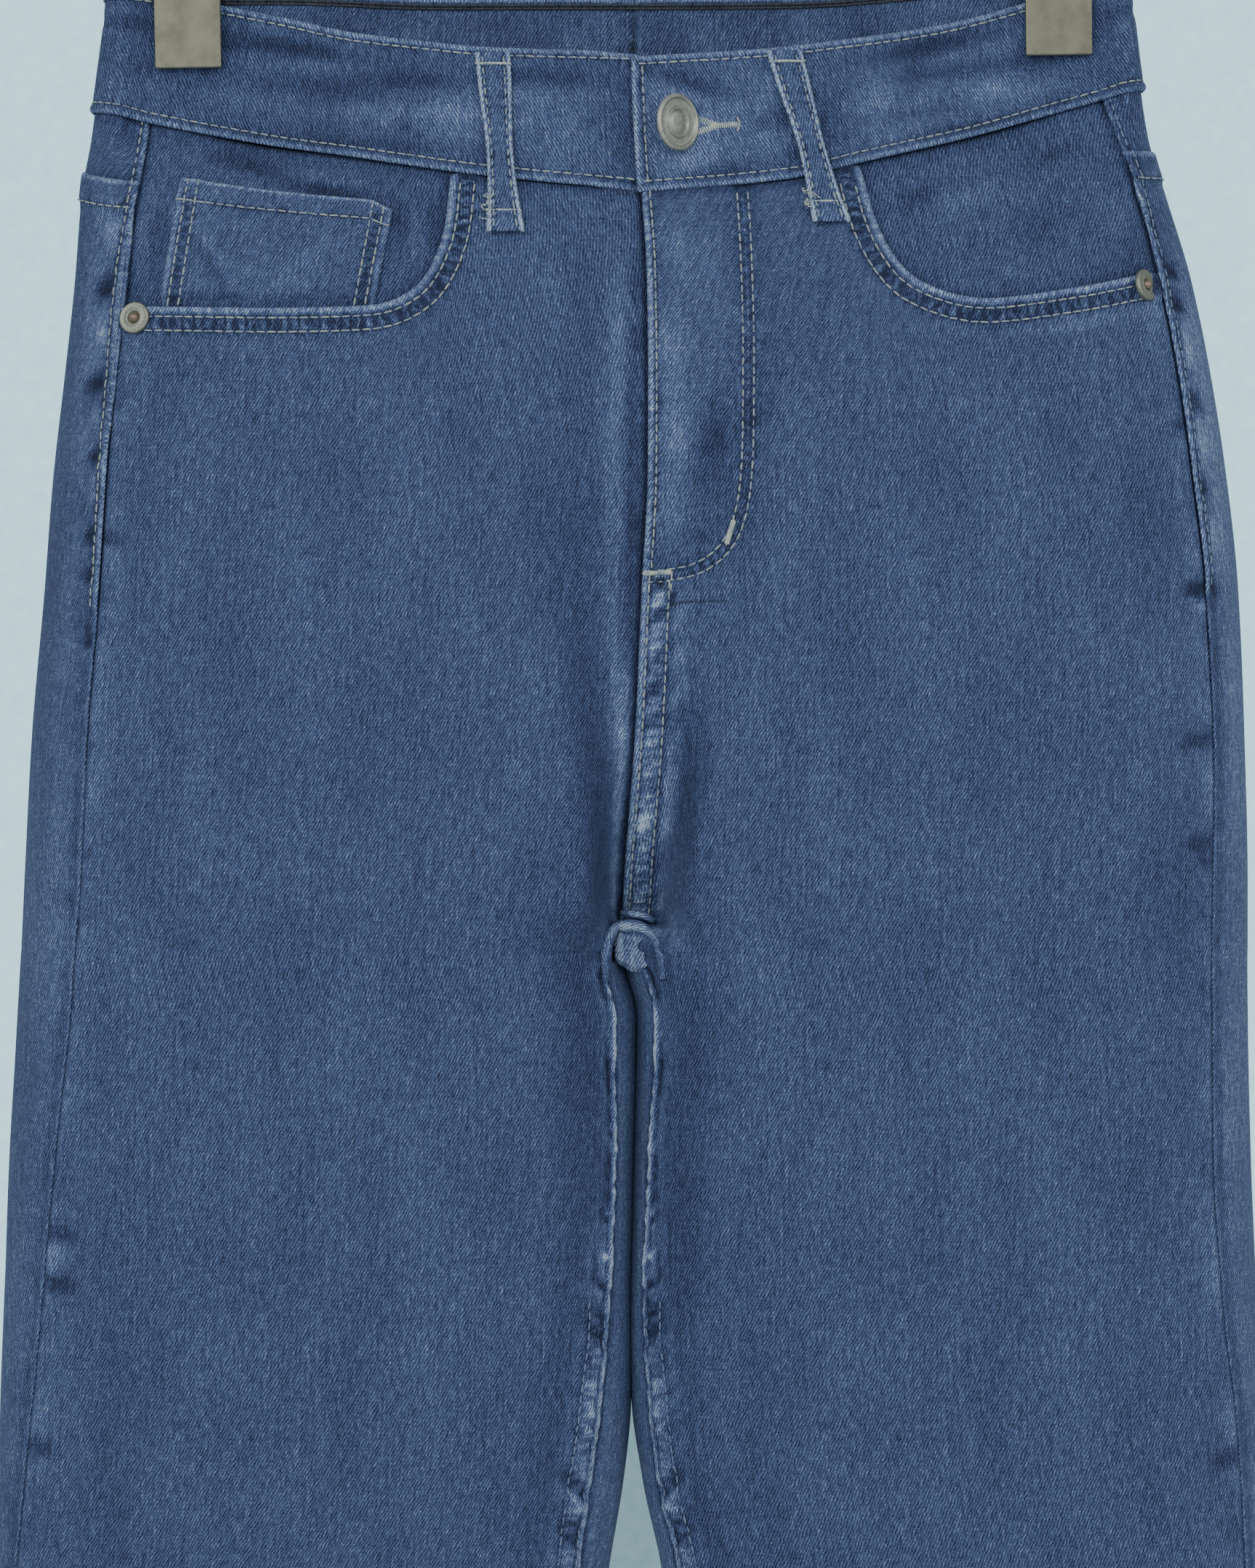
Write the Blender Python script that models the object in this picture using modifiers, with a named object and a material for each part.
"""Flared five-pocket jeans hanging from a trouser hanger by two clips.

The origin is the top of the hook's inside, where a rail carries it. +Z is up, the
front faces -Y and the wearer's left side is at +X. A "drop" is a height measured
down from the waistband's top edge at the clips. Every cloth piece is a wall laid
on one surface: at each drop the garment has a section, and a loop value runs round
it, -2 at the centre front, 0 at the outer edge and 2 at the centre back. Below the
crotch the loop closes on itself and is the leg's tube.
"""

import math

import bmesh
import bpy
import numpy as np
from mathutils import Matrix, Vector

MM = 0.001
SIDES = ("right", "left")
SIDE_SIGN = {"right": -1.0, "left": 1.0}

# ---- driving dimensions, in millimetres ----
WAIST_Z = -132.0  # height of drop 0
CROTCH = 296.0  # drop of the crotch point: a 272 mm front rise
HEM = 1084.0  # drop of the hem: a 788 mm inseam
DENIM = 1.2  # thickness of the denim
GAP = 0.3  # between neighbouring pieces
BAND_OUT = 0.8  # the waistband's face stands this far proud
BAND_IN = 1.8  # and its back lies this far inside
HEM_DEPTH = 25.0
HEM_FOLD = 1.4  # extra thickness of the turned hem
RIM_WIDTH = 7.0  # the folded edge of a front pocket's mouth
RIM_RISE = 0.8
FLY_WIDTH = 33.0
FLY_RISE = 1.0
FLY_BOTTOM = 178.0
UNDERLAP = 34.0  # the waistband's hidden end, under the button
BAND_X = (30, 46, 62, 76, 88, 99)  # where the waistband's sections are, besides those at the clips
LOOP_WIDTH = 10.5
LOOP_THICK = 1.7

# One row for each section. outer and inner: distance of the section's edges from the
# middle. front and back: depth of the two faces from the hanging plane. seam and
# inseam: how far in from those edges the side seam and the inseam lie, on the front.
SECTION_COLUMNS = (
    "drop", "outer_right", "outer_left", "inner_right", "inner_left", "front", "back",
    "seam_right", "seam_left", "inseam_right", "inseam_left", "round_outer", "round_inner",
    "centre",
)
SECTIONS = (
    (-10, 162.5, 152.0, 0.15, 0.15, 14, 14, 16.0, 15.0, 0.0, 0.0, 3.0, 4.0, 0.4),
    (0, 162.5, 153.5, 0.15, 0.15, 15, 15, 16.0, 15.0, 0.0, 0.0, 3.0, 4.0, 0.4),
    (25, 165.3, 156.8, 0.15, 0.15, 18, 18, 16.4, 15.0, 0.0, 0.0, 3.0, 4.0, 0.7),
    (45, 167.7, 159.8, 0.15, 0.15, 21, 22, 16.2, 12.4, 0.0, 0.0, 3.0, 4.0, 1.5),
    (60, 170.3, 164.0, 0.15, 0.15, 24, 27, 15.2, 10.4, 0.0, 0.0, 3.0, 4.0, 2.3),
    (90, 172.6, 173.0, 0.15, 0.15, 29, 35, 15.0, 10.6, 0.0, 0.0, 3.0, 4.0, 4.2),
    (120, 175.8, 179.0, 0.15, 0.15, 34, 41, 15.0, 11.0, 0.0, 0.0, 3.0, 4.0, 4.6),
    (150, 179.2, 183.6, 0.15, 0.15, 38, 45, 15.6, 10.2, 0.0, 0.0, 3.1, 4.0, 4.5),
    (185, 181.8, 187.2, 0.15, 0.15, 41, 47, 16.0, 9.2, 0.0, 0.0, 3.2, 4.0, 2.7),
    (230, 185.7, 189.1, 0.15, 0.15, 43, 47, 16.8, 9.6, 0.0, 0.0, 3.3, 4.2, 0.6),
    (275, 188.0, 190.1, 0.15, 0.15, 43, 45, 17.0, 11.0, 0.0, 0.0, 3.4, 4.6, -2.8),
    (296, 189.0, 190.1, 0.20, 0.20, 42, 43, 17.0, 11.2, 0.0, 0.0, 3.4, 5.0, -3.6),
    (316, 190.2, 190.2, 0.20, 0.20, 41, 41, 16.6, 11.6, 5.4, 7.0, 3.4, 5.0, 0.6),
    (360, 192.7, 191.2, 0.20, 0.20, 39, 38, 16.0, 11.8, 6.4, 6.0, 3.4, 4.6, 1.8),
    (410, 194.6, 193.2, 0.25, 0.25, 36, 35, 14.0, 11.5, 8.6, 4.2, 3.4, 4.2, 0.9),
    (435, 195.6, 194.2, 0.80, 0.80, 35, 34, 12.0, 11.0, 10.0, 5.2, 3.4, 4.0, 0.3),
    (460, 196.5, 195.0, 2.80, 3.00, 33, 32, 11.0, 10.4, 10.3, 5.2, 3.4, 3.8, 0.0),
    (490, 197.5, 196.0, 7.60, 9.20, 31, 30, 9.0, 9.2, 9.2, 5.6, 3.4, 3.6, 0.0),
    (560, 198.0, 197.0, 14.0, 15.0, 27, 27, 7.5, 7.5, 7.0, 5.4, 3.4, 3.4, 0.0),
    (650, 199.0, 198.0, 17.0, 18.0, 24, 24, 7.0, 7.0, 6.0, 5.4, 3.2, 3.2, 0.0),
    (760, 205.0, 204.0, 18.0, 19.0, 24, 24, 8.0, 8.0, 6.5, 6.0, 3.0, 3.0, 0.0),
    (900, 225.0, 224.0, 14.5, 15.5, 27, 27, 10.0, 10.0, 8.0, 8.0, 3.0, 3.0, 0.0),
    (1084, 260.0, 259.0, 8.5, 9.5, 30, 30, 12.0, 12.0, 10.0, 10.0, 3.0, 3.0, 0.0),
)

# Drops of the front waistband's two edges, by the share of the way from the centre
# front to the outer edge. It sags between the clips and follows the hanger's tilt.
WAIST_COLUMNS = ("share", "top_right", "top_left", "bottom_right", "bottom_left")
WAIST = (
    (0.00, 20.8, 22.4, 64.4, 65.0),
    (0.28, 19.4, 19.6, 59.7, 60.8),
    (0.42, 16.8, 16.6, 56.2, 55.6),
    (0.53, 13.6, 13.4, 52.9, 51.2),
    (0.65, 8.6, 9.2, 49.6, 46.2),
    (0.77, 4.6, 4.2, 45.8, 40.6),
    (0.90, 0.8, -1.6, 41.2, 34.8),
    (1.00, 0.0, -4.0, 37.6, 30.8),
)
BACK_TOP = -1.0  # drops at the centre back, of the waistband's edges and the yoke's point
BACK_BOTTOM = 40.0
YOKE_POINT = 98.0
YOKE_SIDE = {"right": 55.3, "left": 49.5}  # drop of the yoke's seam at the side

# The mouth of each front pocket, from the waistband to the side seam: (x, drop).
POCKET_MOUTH = {
    "right": ((55.5, 59.2), (57.3, 76.0), (65.5, 93.5), (80.0, 99.6), (111.0, 100.4), (157.5, 99.0)),
    "left": ((69.4, 56.4), (75.0, 76.0), (86.5, 91.6), (107.0, 97.4), (134.0, 94.0), (156.5, 89.0)),
}
# Corners of the coin pocket, (x, drop): upper outer, upper inner, lower inner, lower outer.
COIN_POCKET = ((136.5, 61.2), (74.6, 68.9), (77.0, 97.6), (141.0, 98.0))

# Soft ridges and troughs: face, side, first end, last end, half width, rise.
FOLD_COLUMNS = ("face", "side", "x1", "drop1", "x2", "drop2", "width", "rise")
FOLDS = (
    ("back", "right", 20, 250, 110, 320, 16, -4.0),
    ("back", "left", 20, 248, 112, 318, 16, -4.0),
    ("back", "right", 40, 330, 130, 380, 18, -3.0),
    ("back", "left", 44, 332, 128, 384, 18, -3.0),
    ("front", "right", 84, 640, 94, 1500, 24, -10.0),
    ("front", "right", 150, 620, 176, 1500, 26, 8.0),
    ("front", "right", 42, 700, 34, 1500, 20, 6.0),
    ("front", "left", 78, 660, 72, 1500, 22, 7.0),
    ("front", "left", 122, 620, 130, 1500, 24, -10.0),
    ("front", "left", 176, 680, 196, 1500, 22, 6.0),
    ("back", "right", 70, 640, 66, 1500, 24, 8.0),
    ("back", "right", 128, 660, 140, 1500, 26, -10.0),
    ("back", "right", 176, 700, 200, 1500, 22, 7.0),
    ("back", "left", 60, 660, 52, 1500, 24, -9.0),
    ("back", "left", 112, 620, 116, 1500, 24, 8.0),
    ("back", "left", 160, 680, 178, 1500, 24, -8.0),
)

# ---- the clips and the hanger ----
CLIP_X = {"right": -137.0, "left": 131.5}
CLIP_BOTTOM = {"right": 24.2, "left": 20.2}  # drop of the jaws' lower edge
CLIP_REACH_OUT = 19.0  # how far past a clip the cloth takes to open again
CLIP_REACH_IN = 56.0
PINCHED = 2.2  # depth of each face where the clip holds it
JAW_WIDTH = 20.5
JAW_LENGTH = 52.0
JAW_THICK = 2.4
JAW_EDGE = 0.5  # radius of a jaw's edges
JAW_SPREAD = 4.0  # degrees that each jaw leans out
PIN_HEIGHT = 31.0  # above the jaws' lower edge
PIN_SHORTER = 3.0  # than the jaws are wide
STRAP_WIDTH = 12.0
STRAP_THICK = 2.0
BAR_DROP = -46.0
BAR_RADIUS = 3.0
BAR_LENGTH = 330.0
HOOK_RADIUS = 18.0  # inside radius
HOOK_WIRE = 4.4
HOOK_TIP = -15.0  # degrees, where the arc starts
HOOK_END = 218.0  # degrees, where it goes over into the neck
HOOK_NECK = ((-9.0, -37.5), (-3.5, -41.5), (-0.6, -47.0), (0.0, -53.0))  # x, z
HOOK_SHANK_TOP = -60.0
BOSS_RADIUS = 5.0
BOSS_HEIGHT = 14.0
HANGER_TILT = 0.85  # degrees: it hangs a little lower on the wearer's right

BUTTON_X = 9.2
BUTTON_DROP = 44.0
BUTTON_RADIUS = 8.5
BUTTON_TURN = 40.0  # degrees that its face turns to the wearer's left
RIVET_RADIUS = 4.9
RIVET_LIFT = 0.8  # over the panel, to clear the raised edge of the pocket's mouth
RIVET_AT = {"right": (151.1, 103.2), "left": (155.7, 93.0)}

# Belt loops: face, side, x and drop of the upper end, x and drop of the lower end.
BELT_LOOPS = {
    "belt_loop_front_right": ("front", "right", 42.8, 22.0, 38.6, 77.5),
    "belt_loop_front_left": ("front", "left", 46.2, 21.4, 60.4, 74.5),
    "belt_loop_back_right": ("back", "right", 104.0, -1.5, 104.0, 53.0),
    "belt_loop_back_left": ("back", "left", 100.0, -4.0, 100.0, 50.0),
    "belt_loop_back_centre": ("back", "left", 0.0, -2.0, 0.0, 54.0),
}

# A back pocket: its middle, top drop, half widths at the top and bottom, and lengths.
BACK_POCKET_X = 92.0
BACK_POCKET_TOP = 98.0
BACK_POCKET_HALF_TOP = 66.0
BACK_POCKET_HALF_FOOT = 57.0
BACK_POCKET_SIDE = 118.0
BACK_POCKET_POINT = 22.0

# Linear colours, roughness and metallic value of each material.
FINISHES = {
    "denim": ((0.052, 0.089, 0.177), 0.85, 0.0),
    "button_metal": ((0.30, 0.30, 0.27), 0.35, 0.9),
    "clip_metal": ((0.26, 0.26, 0.21), 0.35, 0.9),
    "hanger_steel": ((0.45, 0.45, 0.44), 0.3, 0.9),
}


# ---- tables and smooth steps ----
def column(table, names, name):
    """One named column of a table, as an array."""
    return np.array([row[names.index(name)] for row in table], float)


def slopes(at, values):
    """Tangents that keep a curve through the rows from overshooting them."""
    step = np.diff(values) / np.diff(at)
    middle = np.where(
        step[:-1] * step[1:] > 0,
        2 * step[:-1] * step[1:] / np.where(step[:-1] + step[1:] == 0, 1, step[:-1] + step[1:]),
        0,
    )
    return np.concatenate([[step[0]], middle, [step[-1]]])


def follow(at, values, where):
    """A smooth curve through a table's rows."""
    where = np.clip(where, at[0], at[-1])
    i = np.clip(np.searchsorted(at, where, side="right") - 1, 0, len(at) - 2)
    width = at[i + 1] - at[i]
    t = (where - at[i]) / width
    slope = slopes(at, values)
    rest = 1 - t
    return (
        values[i] * (1 + 2 * t) * rest**2
        + values[i + 1] * (3 - 2 * t) * t**2
        + slope[i] * width * t * rest**2
        - slope[i + 1] * width * rest * t**2
    )


def section(name, drop):
    """A value of the sections' table at a drop."""
    return follow(
        column(SECTIONS, SECTION_COLUMNS, "drop"), column(SECTIONS, SECTION_COLUMNS, name), drop
    )


def smooth_step(low, high, value):
    """0 below low, 1 above high, and smooth between."""
    t = np.clip((value - low) / (high - low), 0, 1)
    return t * t * (3 - 2 * t)


# ---- the cloth's surface ----
VALLEY_START = {"front": 105.0, "back": 120.0}
VALLEY_FLAT = {"right": 0.6, "left": 9.0}  # half of the flat strip beside the centre seam
VALLEY_TURN = 15.0  # above the crotch, the drop over which the valley becomes two legs


def seat_line(face, drop, depth):
    """Depth of the centre seam: it leaves the face and curls under at the crotch."""
    start = VALLEY_START[face]
    t = np.clip((drop - start) / (CROTCH - start), 0, 1)
    return depth * np.sqrt(1 - t**1.6)


def fold_rise(face, side, x, drop):
    """Sum of the soft folds at a place, in millimetres out of the surface."""
    total = np.zeros(np.broadcast(x, drop).shape)
    for row in FOLDS:
        fold = dict(zip(FOLD_COLUMNS, row))
        if fold["face"] != face or fold["side"] != side:
            continue
        along = np.array([fold["x2"] - fold["x1"], fold["drop2"] - fold["drop1"]], float)
        length = np.hypot(*along)
        along /= length
        dx, dd = x - fold["x1"], drop - fold["drop1"]
        t = (dx * along[0] + dd * along[1]) / length
        across = (dx * along[1] - dd * along[0]) / fold["width"]
        ends = np.sin(np.pi * np.clip(t, 0, 1)) ** 2
        total = total + fold["rise"] * ends * np.exp(-(across**2))
    return total


def surface(side, drop, loop):
    """(x, y, z) of the cloth's outer face, in millimetres."""
    drop, loop = np.broadcast_arrays(np.asarray(drop, float), np.asarray(loop, float))
    loop = np.where(loop > 2, loop - 4, loop)
    is_front = loop < 0
    turn = 1 - np.abs(loop)
    outer, inner = section("outer_" + side, drop), section("inner_" + side, drop)
    half, middle = (outer - inner) / 2, (outer + inner) / 2
    across = np.sin(np.pi / 2 * turn)
    x = middle + half * across
    power = np.where(across > 0, section("round_outer", drop), section("round_inner", drop))
    rounded = np.sqrt(np.maximum(0, 1 - np.abs(across) ** power))
    depth = {}
    for face in ("front", "back"):
        full = section(face, drop)
        seat = seat_line(face, drop, full)
        flat = VALLEY_FLAT[side] if face == "front" else 5.0
        rise = smooth_step(flat, flat + 12 + 40 * (1 - smooth_step(120, CROTCH - 20, drop)), x)
        torso = 1 - smooth_step(CROTCH - VALLEY_TURN, CROTCH, drop)
        inside = seat + (full - seat) * (torso * rise + (1 - torso) * rounded)
        inside = np.where(drop < CROTCH, inside, full * rounded)
        depth[face] = np.where(across > 0, full * rounded, inside)
        fade = np.clip(depth[face] / 12.0, 0, 1)
        depth[face] = depth[face] + fade * fold_rise(face, side, x, drop)
    y = np.where(is_front, depth["front"], depth["back"])
    clip = abs(CLIP_X[side])
    off = np.where(x > clip, ((x - clip) / CLIP_REACH_OUT) ** 8, ((x - clip) / CLIP_REACH_IN) ** 4)
    held = np.exp(-off) * (1 - smooth_step(24, 76, drop))
    y = np.where(y > PINCHED, y * (1 - held) + PINCHED * held, y)
    both = np.where(is_front, 1.0, smooth_step(CROTCH - 50, CROTCH, drop))
    shift = section("centre", drop) * both * (1 - x / outer)
    return np.stack(
        [SIDE_SIGN[side] * x + shift, np.where(is_front, -y, y), WAIST_Z - drop], axis=-1
    )


def outward(side, drop, loop):
    """The surface's unit normal, pointing out of the garment."""
    drop, loop = np.broadcast_arrays(np.asarray(drop, float), np.asarray(loop, float))
    end = 1.985
    loop = np.where(drop < CROTCH, np.clip(loop, -end, end), loop)
    down = surface(side, drop + 0.2, loop) - surface(side, drop - 0.2, loop)
    round_it = surface(side, drop, loop + 0.006) - surface(side, drop, loop - 0.006)
    normal = SIDE_SIGN[side] * np.cross(down, round_it)
    return normal / np.maximum(np.linalg.norm(normal, axis=-1, keepdims=True), 1e-9)


def lifted(side, drop, loop, lift):
    """Points of the surface moved out by lift."""
    lift = np.asarray(lift, float)[..., None]
    return surface(side, drop, loop) + outward(side, drop, loop) * lift


def loop_at(side, face, x, drop):
    """The loop value where a face of the garment is x away from the middle."""
    outer, inner = section("outer_" + side, drop), section("inner_" + side, drop)
    x = np.asarray(x, float)
    if face == "front":
        shift = SIDE_SIGN[side] * section("centre", drop)
        x = (x - shift) / (1 - shift / outer)
    across = np.clip((x - (outer + inner) / 2) * 2 / (outer - inner), -1, 1)
    turn = 2 / np.pi * np.arcsin(across)
    return turn - 1 if face == "front" else 1 - turn


def side_seam(side, drop):
    """Loop value of the side seam."""
    outer, inner = section("outer_" + side, drop), section("inner_" + side, drop)
    return 2 / np.pi * np.arcsin(1 - 2 * section("seam_" + side, drop) / (outer - inner)) - 1


def inseam(side, drop):
    """Loop value of the inseam, or of the centre front above the crotch."""
    outer, inner = section("outer_" + side, drop), section("inner_" + side, drop)
    return -1 - 2 / np.pi * np.arcsin(1 - 2 * section("inseam_" + side, drop) / (outer - inner))


def waist_edge(side, face, edge, loop):
    """Drop of the waistband's top or bottom edge at a loop value."""
    share = (1 + np.sin(np.pi / 2 * (1 - np.abs(loop)))) / 2
    at = column(WAIST, WAIST_COLUMNS, "share")
    values = column(WAIST, WAIST_COLUMNS, f"{edge}_{side}")
    if face == "front":
        return follow(at, values, share)
    middle = BACK_TOP if edge == "top" else BACK_BOTTOM
    return middle + (values[-1] - middle) * smooth_step(0, 1, share) ** 1.5


def waist_line(side, edge, loop):
    """The same all the way round, front and back."""
    return np.where(
        loop < 0, waist_edge(side, "front", edge, loop), waist_edge(side, "back", edge, loop)
    )


def yoke_line(side, loop):
    """Drop of the seam under the back yoke."""
    share = (1 + np.sin(np.pi / 2 * (1 - np.abs(loop)))) / 2
    share = np.where(loop < 0, 1.0, share)
    return YOKE_POINT + (YOKE_SIDE[side] - YOKE_POINT) * share


def even_points(points, count):
    """count points spaced evenly along a smooth curve through the points."""
    points = np.array(points, float)
    index = np.arange(len(points), dtype=float)
    fine = np.linspace(0, len(points) - 1, 400)
    line = np.stack([follow(index, points[:, k], fine) for k in range(2)], axis=1)
    run = np.concatenate([[0], np.cumsum(np.hypot(*np.diff(line, axis=0).T))])
    at = np.linspace(0, run[-1], count)
    return np.stack([np.interp(at, run, line[:, k]) for k in range(2)], axis=1)


# ---- making solids ----
def new_object(name, mesh_data, finish, parent=None):
    """An object in the garment's collection, with its material."""
    colour, roughness, metallic = FINISHES[finish]
    material = bpy.data.materials.get(finish) or bpy.data.materials.new(finish)
    material.use_nodes = True
    shader = material.node_tree.nodes["Principled BSDF"]
    shader.inputs["Base Color"].default_value = (*colour, 1)
    shader.inputs["Roughness"].default_value = roughness
    shader.inputs["Metallic"].default_value = metallic
    obj = bpy.data.objects.new(name, mesh_data)
    mesh_data.materials.append(material)
    bpy.data.collections["jeans_on_hanger"].objects.link(obj)
    obj.parent = parent
    return obj


def cloth_wall(name, outer, inner):
    """A wall of cloth between two grids of points, given in millimetres."""
    rows, cols = outer.shape[:2]
    bm = bmesh.new()
    bmesh.ops.create_grid(bm, x_segments=cols - 1, y_segments=rows - 1, size=0.5)
    sheet = bm.verts[:] + bm.edges[:] + bm.faces[:]
    copied = bmesh.ops.extrude_face_region(bm, geom=sheet, use_keep_orig=True)
    raised = {v for v in copied["geom"] if isinstance(v, bmesh.types.BMVert)}
    for vert in bm.verts:
        i = round((vert.co.y + 0.5) * (rows - 1))
        j = round((vert.co.x + 0.5) * (cols - 1))
        vert.co = Vector((outer if vert in raised else inner)[i, j]) * MM
    bmesh.ops.recalc_face_normals(bm, faces=bm.faces[:])
    mesh_data = bpy.data.meshes.new(name)
    bm.to_mesh(mesh_data)
    bm.free()
    obj = new_object(name, mesh_data, "denim")
    mesh_data.shade_smooth()
    mesh_data.set_sharp_from_angle(angle=math.radians(50))
    return obj


def laid_wall(name, side, drop, loop, out, thick):
    """A wall on one side's surface. out is the lift of its outer face."""
    out = np.broadcast_to(out, drop.shape)
    return cloth_wall(
        name, lifted(side, drop, loop, out), lifted(side, drop, loop, out - thick)
    )


def seam_gap(side, drop, loop):
    """The loop value that leaves half a seam's gap at a place."""
    step = 0.01
    moved = surface(side, drop, loop + step) - surface(side, drop, loop - step)
    return GAP / 2 * 2 * step / np.maximum(np.linalg.norm(moved, axis=-1), 1e-6)


# ---- cut pieces ----
BACK_COLUMNS = 21
BACK_LIP = 0.5  # the back panel's top edge laps the yoke's seam
FACING_GAP = 1.1  # behind the front panel
SIDE_ROWS = (108, 122, 139)  # drops of both panels' corners on the side seam, above the level rows
LEG_ROWS = np.array([
    158, 176, 196, 218, 240, 258, 272, 281, 287, 291.5, 294.5, 295.85,
    296.3, 298, 302, 308, 318, 336, 362, 396, 430, 462, 496, 548, 608, 670,
    740, 810, 880, 950, 1015, HEM - HEM_DEPTH, HEM - HEM_DEPTH + 2, HEM,
])


def thickness_at(drop):
    """The wall's thickness, with the turned hem."""
    return DENIM + HEM_FOLD * smooth_step(HEM - HEM_DEPTH, HEM - HEM_DEPTH + 2, drop)


def with_top(top_drop, top_loop, rows, loops_below, side_drops):
    """Grids of drop and loop: a few rows that ease from a top edge, then level rows.

    side_drops are the drops of the easing rows at the side seam, so that the two
    panels that meet there have their corners at the same places.
    """
    side_drops = np.array(side_drops, float)
    eased = ((side_drops - side_drops[0]) / (rows[0] - side_drops[0]))[:, None]
    ease_loop = eased**0.8
    first = top_drop + (rows[0] - top_drop) * eased
    first_loop = top_loop + (loops_below[0] - top_loop) * ease_loop
    level = np.broadcast_to(rows[:, None], loops_below.shape)
    return np.concatenate([first, level]), np.concatenate([first_loop, loops_below])


def front_panel(side):
    """One front leg panel, scooped out at the pocket."""
    mouth = even_points(POCKET_MOUTH[side], 9)[::-1]
    mouth_drop = mouth[:, 1]
    mouth_loop = loop_at(side, "front", mouth[:, 0], mouth_drop)
    mouth_loop[0] = side_seam(side, mouth_drop[0])
    waist_loop = np.linspace(mouth_loop[-1], -2, 6)[1:]
    waist_drop = waist_edge(side, "front", "bottom", waist_loop) + GAP
    top_loop = np.concatenate([mouth_loop, waist_loop])
    top_drop = np.concatenate([mouth_drop, waist_drop])
    share = np.linspace(0, 1, len(top_loop)) ** 0.92
    start, end = side_seam(side, LEG_ROWS)[:, None], inseam(side, LEG_ROWS)[:, None]
    side_drops = [mouth_drop[0], *SIDE_ROWS]
    drop, loop = with_top(
        top_drop, top_loop, LEG_ROWS, start + (end - start) * share, side_drops
    )
    count = len(side_drops)
    loop[:count, 0] = side_seam(side, drop[:count, 0])
    gap = seam_gap(side, drop, np.clip(loop, -1.97, 2))
    loop[:, 0] -= gap[:, 0]
    legs = drop[:, -1] > CROTCH
    loop[legs, -1] += gap[legs, -1]
    out = np.zeros(drop.shape)
    out[0, : len(mouth)] = RIM_RISE
    if side == "left":
        from_seam = np.linalg.norm(
            surface(side, drop, loop) - surface(side, drop, np.full_like(loop, -2)), axis=-1
        )
        inside = 1 - smooth_step(FLY_WIDTH - 4, FLY_WIDTH + 4, from_seam)
        out += FLY_RISE * inside * (1 - smooth_step(FLY_BOTTOM - 8, FLY_BOTTOM + 8, drop))
    laid_wall("front_panel_" + side, side, drop, loop, out, thickness_at(drop) + out)


def back_panel(side):
    """One back leg panel, from the side seam round the outer edge to the seat or inseam."""
    share = np.linspace(0, 1, BACK_COLUMNS)
    start = side_seam(side, LEG_ROWS)[:, None]
    end = np.where(LEG_ROWS < CROTCH, 2.0, inseam(side, LEG_ROWS) + 4)[:, None]
    below = start + (end - start) * share
    first = side_seam(side, YOKE_SIDE[side])
    top_loop = first + (2 - first) * share
    top_drop = yoke_line(side, top_loop) + GAP / 2
    side_drops = [top_drop[0], 66, 80, POCKET_MOUTH[side][-1][1], *SIDE_ROWS]
    drop, loop = with_top(top_drop, top_loop, LEG_ROWS, below, side_drops)
    count = len(side_drops)
    loop[:count, 0] = side_seam(side, drop[:count, 0])
    gap = seam_gap(side, drop, np.clip(loop, -1.97, 3))
    loop[:, 0] += gap[:, 0]
    legs = drop[:, -1] > CROTCH
    loop[legs, -1] -= gap[legs, -1]
    out = np.zeros(drop.shape)
    out[0] = BACK_LIP
    laid_wall("back_panel_" + side, side, drop, loop, out, thickness_at(drop) + out)


def yoke(side):
    """The back yoke, between the waistband and the back panel."""
    down = np.linspace(0, 1, 4)[:, None]
    head, foot = side_seam(side, 40.0), side_seam(side, YOKE_SIDE[side])
    start = head + (foot - head) * down
    loop = start + (2 - start) * np.linspace(0, 1, BACK_COLUMNS)
    top = waist_line(side, "bottom", loop) + GAP
    bottom = yoke_line(side, loop) - GAP / 2
    drop = top + (bottom - top) * down
    gap = seam_gap(side, drop, np.clip(loop, -1.97, 1.97))
    loop[:, 0] += gap[:, 0]
    laid_wall("yoke_" + side, side, drop, loop, 0.0, DENIM + 0 * drop)


def pocket_facing(side):
    """The denim that shows inside a front pocket's mouth, just behind the panel."""
    columns, lap = 13, 11.0
    inner_x = POCKET_MOUTH[side][0][0] - lap
    first = side_seam(side, 80.0)
    last = loop_at(side, "front", inner_x, 70.0)
    loop = np.linspace(first, last, columns)
    top = waist_edge(side, "front", "bottom", loop) + GAP
    bottom = POCKET_MOUTH[side][3][1] + lap
    share = np.linspace(0, 1, 8)[:, None]
    drop = top + (bottom - top) * share
    loop = np.broadcast_to(loop, drop.shape).copy()
    loop[:, 0] = side_seam(side, drop[:, 0]) - 2 * seam_gap(side, drop[:, 0], loop[:, 0])
    laid_wall("pocket_facing_" + side, side, drop, loop, -(DENIM + FACING_GAP), DENIM)


def coin_pocket():
    """The small pocket on the right facing; its foot tucks behind the mouth's edge."""
    corners = np.array(COIN_POCKET)
    u, v = np.linspace(0, 1, 7)[None, :, None], np.linspace(0, 1, 5)[:, None, None]
    upper = corners[0] + (corners[1] - corners[0]) * u
    lower = corners[3] + (corners[2] - corners[3]) * u
    place = upper + (lower - upper) * v
    drop = place[..., 1]
    loop = loop_at("right", "front", place[..., 0], drop)
    laid_wall("coin_pocket", "right", drop, loop, -GAP + DENIM * 0.35, DENIM * 1.1)


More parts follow.
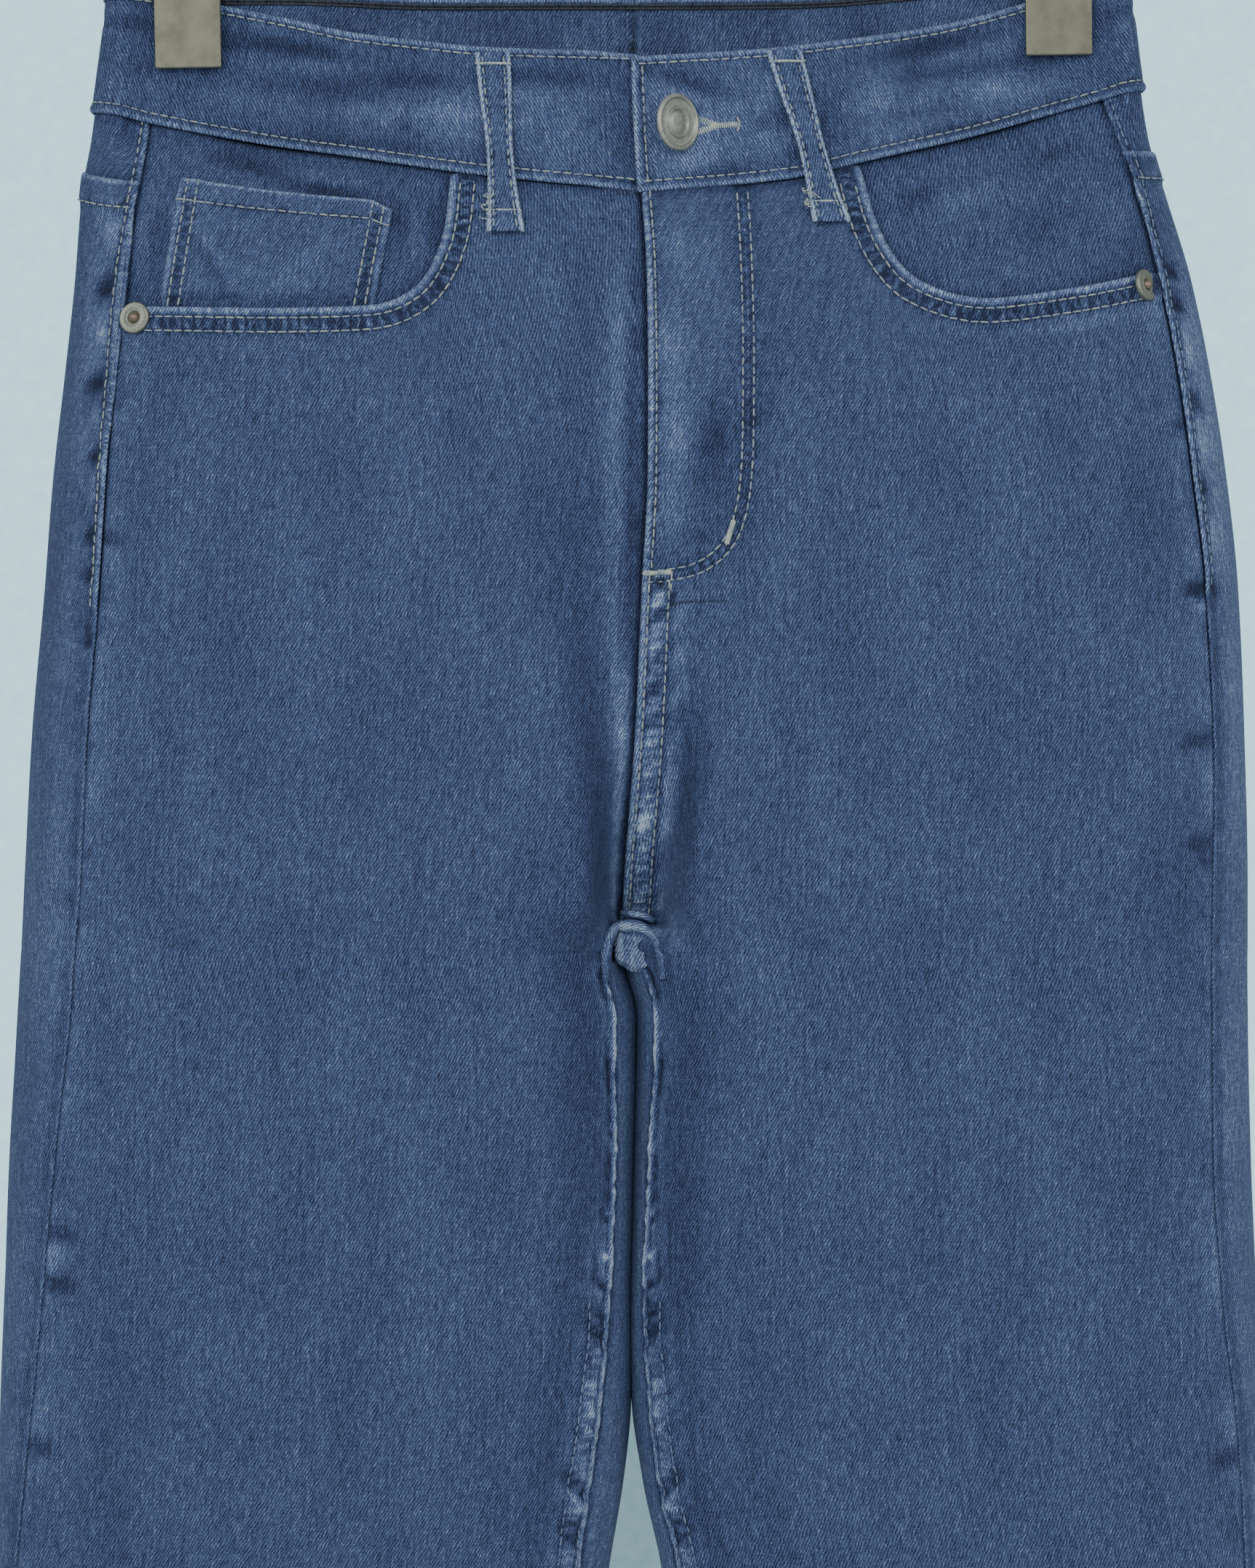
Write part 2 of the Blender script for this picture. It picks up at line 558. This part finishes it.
def waistband():
    """The waistband: one strip whose left end laps over its hidden right end."""
    under_x = np.linspace(UNDERLAP, 0.6, 5)
    stations = [("left", loop_at("left", "front", x + 3, 40.0), -2.1) for x in under_x]
    first = [-1.985, -1.9, -1.8, -1.68]
    sink = [-2.0, -1.2, 0.2, BAND_OUT]
    stations += [("right", loop, lift) for loop, lift in zip(first, sink)]
    for side, order in (("right", 1), ("left", -1)):
        clip_x = abs(CLIP_X[side]) + np.array([-24, -12, 0, 12])
        front = loop_at(side, "front", np.concatenate([BAND_X, clip_x]), 20.0)
        back = loop_at(side, "back", np.concatenate([BAND_X, clip_x]), 20.0)[::-1]
        fold = np.array([-0.24, -0.12, 0, 0.12, 0.24])
        loops = np.concatenate([front, fold, back, [1.8, 1.97]])
        stations += [(side, loop, BAND_OUT) for loop in loops[::order]]
    stations += [("left", loop, BAND_OUT) for loop in (-1.68, -1.8, -1.9, -1.97)]
    thick = BAND_IN + BAND_OUT
    outer, inner = [], []
    for side, loop, lift in stations:
        loop = float(loop)
        top, bottom = (float(waist_line(side, edge, loop)) for edge in ("top", "bottom"))
        drop = np.linspace(top, bottom, 4)
        ends = np.full(4, loop)
        outer.append(lifted(side, drop, ends, np.full(4, lift)))
        inner.append(lifted(side, drop, ends, np.full(4, lift - thick)))
    return cloth_wall("waistband", np.array(outer), np.array(inner))


def belt_loop(name):
    """A belt loop: a strip sewn at the waistband's top and again below the band."""
    face, side, x1, drop1, x2, drop2 = BELT_LOOPS[name]
    rows = 11
    t = np.linspace(0, 1, rows)[:, None]
    half = np.array([-1, 0, 1])[None, :] * LOOP_WIDTH / 2
    drop = drop1 + (drop2 - drop1) * t + 0 * half
    x = x1 + (x2 - x1) * t + half
    band_end = np.asarray(waist_edge(side, face, "bottom", loop_at(side, face, x, drop)))
    under = BAND_OUT + 2 * GAP - (BAND_OUT - 0.1) * smooth_step(band_end, band_end + 8, drop)
    under = under + (GAP if face == "back" else 0)
    under = under + 1.1 * np.sin(np.pi * t) ** 2
    foot = smooth_step(0.86, 0.92, t)
    thick = LOOP_THICK * (1 + 0.6 * foot + 0.4 * (1 - smooth_step(0.03, 0.08, t)))
    thick = thick + 0 * drop
    if name.endswith("centre"):
        outer, inner = across_centre(drop, x, under + thick), across_centre(drop, x, under)
    else:
        loop = loop_at(side, face, x, drop)
        outer = lifted(side, drop, loop, under + thick)
        inner = lifted(side, drop, loop, under)
    return cloth_wall(name, outer, inner)


def across_centre(drop, x, lift):
    """Points on the back that cross the centre seam."""
    points = np.empty((*drop.shape, 3))
    for side in SIDES:
        mine = (x * SIDE_SIGN[side] > 0) | ((x == 0) & (side == "left"))
        loop = loop_at(side, "back", np.abs(x), drop)
        points[mine] = lifted(side, drop, loop, lift)[mine]
    points[:, 1, 0] = 0
    return points


def back_pocket(side):
    """A patch pocket with a pointed foot, moved out from the back panel."""
    u = np.linspace(-1, 1, 9)[None, :]
    v = np.linspace(0, 1, 8)[:, None]
    half = BACK_POCKET_HALF_TOP + (BACK_POCKET_HALF_FOOT - BACK_POCKET_HALF_TOP) * v
    length = BACK_POCKET_SIDE + BACK_POCKET_POINT * (1 - np.abs(u))
    drop = BACK_POCKET_TOP + length * v - 6 * u * (1 - v)
    loop = loop_at(side, "back", BACK_POCKET_X + half * u, drop)
    laid_wall("back_pocket_" + side, side, drop, loop, 2 * GAP + DENIM + 0 * drop, DENIM)


# ---- metal pieces ----
def turned(name, profile, finish, steps=28, parent=None):
    """A turned solid: (radius, height) points from the axis down the outside and back."""
    mesh_data = bpy.data.meshes.new(name)
    points = [(r * MM, 0, z * MM) for r, z in profile]
    mesh_data.from_pydata(points, [(i, i + 1) for i in range(len(points) - 1)], [])
    obj = new_object(name, mesh_data, finish, parent)
    screw = obj.modifiers.new("turn", "SCREW")
    screw.steps = screw.render_steps = steps
    screw.use_merge_vertices = True
    screw.merge_threshold = 0.00005
    screw.use_smooth_shade = True
    return obj


def aim(obj, place, axis, up=(0, 0, 1)):
    """Puts a turned solid at a place in millimetres with its axis along axis."""
    z = Vector(axis).normalized()
    x = Vector(up).cross(z).normalized()
    y = z.cross(x)
    turn = Matrix((x, y, z)).transposed().to_4x4()
    obj.matrix_world = Matrix.Translation(Vector(place) * MM) @ turn


def button():
    """The shank button: a dished head with a raised ring and rim, on a short stem."""
    r = BUTTON_RADIUS
    profile = [
        (0, 6.5), (3.0, 6.6), (3.6, 7.2), (4.3, 7.2), (4.8, 6.8), (r - 1.5, 6.9), (r - 0.9, 7.5),
        (r - 0.2, 7.3), (r, 6.6), (r - 0.4, 5.6), (3.4, 5.0), (2.6, 4.2), (2.6, 1.2), (0, 1.2),
    ]
    loop = loop_at("left", "front", BUTTON_X, BUTTON_DROP)
    seat = lifted("left", BUTTON_DROP, loop, BAND_OUT + GAP)
    turn = math.radians(BUTTON_TURN)
    axis = Vector((math.sin(turn), -math.cos(turn), 0))
    reach = 2.6 * math.sin(turn)  # the stem's foot is square to its leaning axis
    obj = turned("button", profile, "button_metal", steps=32)
    aim(obj, Vector(seat) + axis * (reach - 1.2) + Vector((0, -0.5, 0)), axis)


def rivet(side):
    """A pocket rivet: a flat collar with a small domed point."""
    r = RIVET_RADIUS
    profile = [(0, 2.3), (0.9, 2.1), (1.5, 1.5), (1.9, 1.0), (r - 1, 1.0), (r, 0.6), (r, 0), (0, 0)]
    x, drop = RIVET_AT[side]
    loop = loop_at(side, "front", x, drop)
    place = lifted(side, drop, loop, RIVET_LIFT)
    obj = turned("rivet_" + side, profile, "button_metal", steps=20)
    aim(obj, place, outward(side, drop, loop))


# ---- the hanger ----
def box(name, size, place, finish, parent, lean=0.0, edge=0.0):
    """A block with its size and place in millimetres, leaning about X by lean degrees."""
    bm = bmesh.new()
    bmesh.ops.create_cube(bm, size=1)
    bmesh.ops.scale(bm, verts=bm.verts[:], vec=Vector(size) * MM)
    if edge:
        bmesh.ops.bevel(
            bm, geom=bm.edges[:], offset=edge * MM, segments=2, profile=0.5, affect="EDGES"
        )
    mesh_data = bpy.data.meshes.new(name)
    bm.to_mesh(mesh_data)
    bm.free()
    obj = new_object(name, mesh_data, finish, parent)
    obj.location = Vector(place) * MM
    obj.rotation_euler = (math.radians(lean), 0, 0)
    return obj


def rod(name, radius, length, place, along, finish, parent, sides=20):
    """A round bar, its size and place in millimetres."""
    bm = bmesh.new()
    bmesh.ops.create_cone(
        bm, cap_ends=True, segments=sides, radius1=radius * MM, radius2=radius * MM, depth=length * MM
    )
    mesh_data = bpy.data.meshes.new(name)
    bm.to_mesh(mesh_data)
    bm.free()
    obj = new_object(name, mesh_data, finish, parent)
    obj.location = Vector(place) * MM
    if along == "x":
        obj.rotation_euler = (0, math.radians(90), 0)
    mesh_data.shade_smooth()
    mesh_data.set_sharp_from_angle(angle=math.radians(50))
    return obj


def hook(parent):
    """The wire hook, over a rail at the origin, with its shank down to the boss."""
    radius = HOOK_RADIUS + HOOK_WIRE / 2
    middle = -HOOK_RADIUS
    arc = [
        (radius * math.cos(a), middle + radius * math.sin(a))
        for a in np.radians(np.linspace(HOOK_TIP, HOOK_END, 26))
    ]
    foot = WAIST_Z - BAR_DROP + BAR_RADIUS + BOSS_HEIGHT + GAP
    line = arc + list(HOOK_NECK) + [(0, z) for z in np.linspace(HOOK_SHANK_TOP, foot, 3)]
    data = bpy.data.curves.new("hanger_hook", "CURVE")
    data.dimensions = "3D"
    data.bevel_depth = HOOK_WIRE / 2 * MM
    data.bevel_resolution = 2
    data.use_fill_caps = True
    spline = data.splines.new("POLY")
    spline.points.add(len(line) - 1)
    for point, (x, z) in zip(spline.points, line):
        point.co = (x * MM, 0, z * MM, 1)
    obj = bpy.data.objects.new("hanger_hook", data)
    bpy.data.collections["jeans_on_hanger"].objects.link(obj)
    obj.parent = parent


def bar(parent):
    """The cross bar with the boss that holds the hook, in one piece."""
    z = WAIST_Z - BAR_DROP
    obj = rod("hanger_bar", BAR_RADIUS, BAR_LENGTH, (0, 0, z), "x", "hanger_steel", parent, 24)
    boss = rod(
        "boss_to_join", BOSS_RADIUS, BOSS_HEIGHT + BAR_RADIUS,
        (0, 0, z + (BOSS_HEIGHT + BAR_RADIUS) / 2), "z", "hanger_steel", parent, 24,
    )
    boss.hide_render = True
    boss.display_type = "WIRE"
    bpy.data.collections["jeans_on_hanger"].objects.unlink(boss)
    bpy.data.collections["helpers"].objects.link(boss)
    join = obj.modifiers.new("boss", "BOOLEAN")
    join.operation = "UNION"
    join.object = boss


def clip(side, hanger):
    """One clip: two jaws on a spring pin, hung from the bar by a strap."""
    name = "clip_" + side + "_"
    root = bpy.data.objects.new("clip_" + side, None)
    bpy.data.collections["jeans_on_hanger"].objects.link(root)
    root.parent = hanger
    low = WAIST_Z - CLIP_BOTTOM[side]
    # The clip's own frame has its zero at the jaws' lower edge and tilts with the hanger.
    place = Vector((CLIP_X[side], 0, low)) * MM
    root.location = Matrix.Rotation(math.radians(HANGER_TILT), 4, "Y") @ place
    lean = math.radians(JAW_SPREAD)
    clear = PINCHED + BAND_OUT + 2 * GAP
    middle_y = clear + JAW_THICK / 2 * math.cos(lean) + JAW_LENGTH / 2 * math.sin(lean)
    middle_z = JAW_LENGTH / 2 * math.cos(lean) + JAW_THICK / 2 * math.sin(lean)
    size = (JAW_WIDTH, JAW_THICK, JAW_LENGTH)
    box(name + "front_jaw", size, (0, -middle_y, middle_z), "clip_metal", root, JAW_SPREAD, JAW_EDGE)
    box(name + "back_jaw", size, (0, middle_y, middle_z), "clip_metal", root, -JAW_SPREAD, JAW_EDGE)
    room = clear + PIN_HEIGHT * math.tan(lean)
    place = (0, 0, PIN_HEIGHT)
    rod(name + "pin", room - GAP, JAW_WIDTH - PIN_SHORTER, place, "x", "hanger_steel", root)
    bar_up = WAIST_Z - BAR_DROP - root.location.z / MM
    low = PIN_HEIGHT + room
    high = bar_up - BAR_RADIUS - GAP
    size = (STRAP_WIDTH, STRAP_THICK, high - low)
    box(name + "strap", size, (0, 0, (low + high) / 2), "hanger_steel", root)


def main():
    for obj in list(bpy.data.objects):
        bpy.data.objects.remove(obj, do_unlink=True)
    for name in ("jeans_on_hanger", "helpers"):
        bpy.context.scene.collection.children.link(bpy.data.collections.new(name))
    waistband()
    for side in SIDES:
        front_panel(side)
        back_panel(side)
        yoke(side)
        pocket_facing(side)
        back_pocket(side)
        rivet(side)
    coin_pocket()
    for name in BELT_LOOPS:
        belt_loop(name)
    button()
    hanger = bpy.data.objects.new("hanger", None)
    bpy.data.collections["jeans_on_hanger"].objects.link(hanger)
    hanger.rotation_euler = (0, math.radians(-HANGER_TILT), 0)
    hook(hanger)
    bar(hanger)
    for side in SIDES:
        clip(side, hanger)


main()
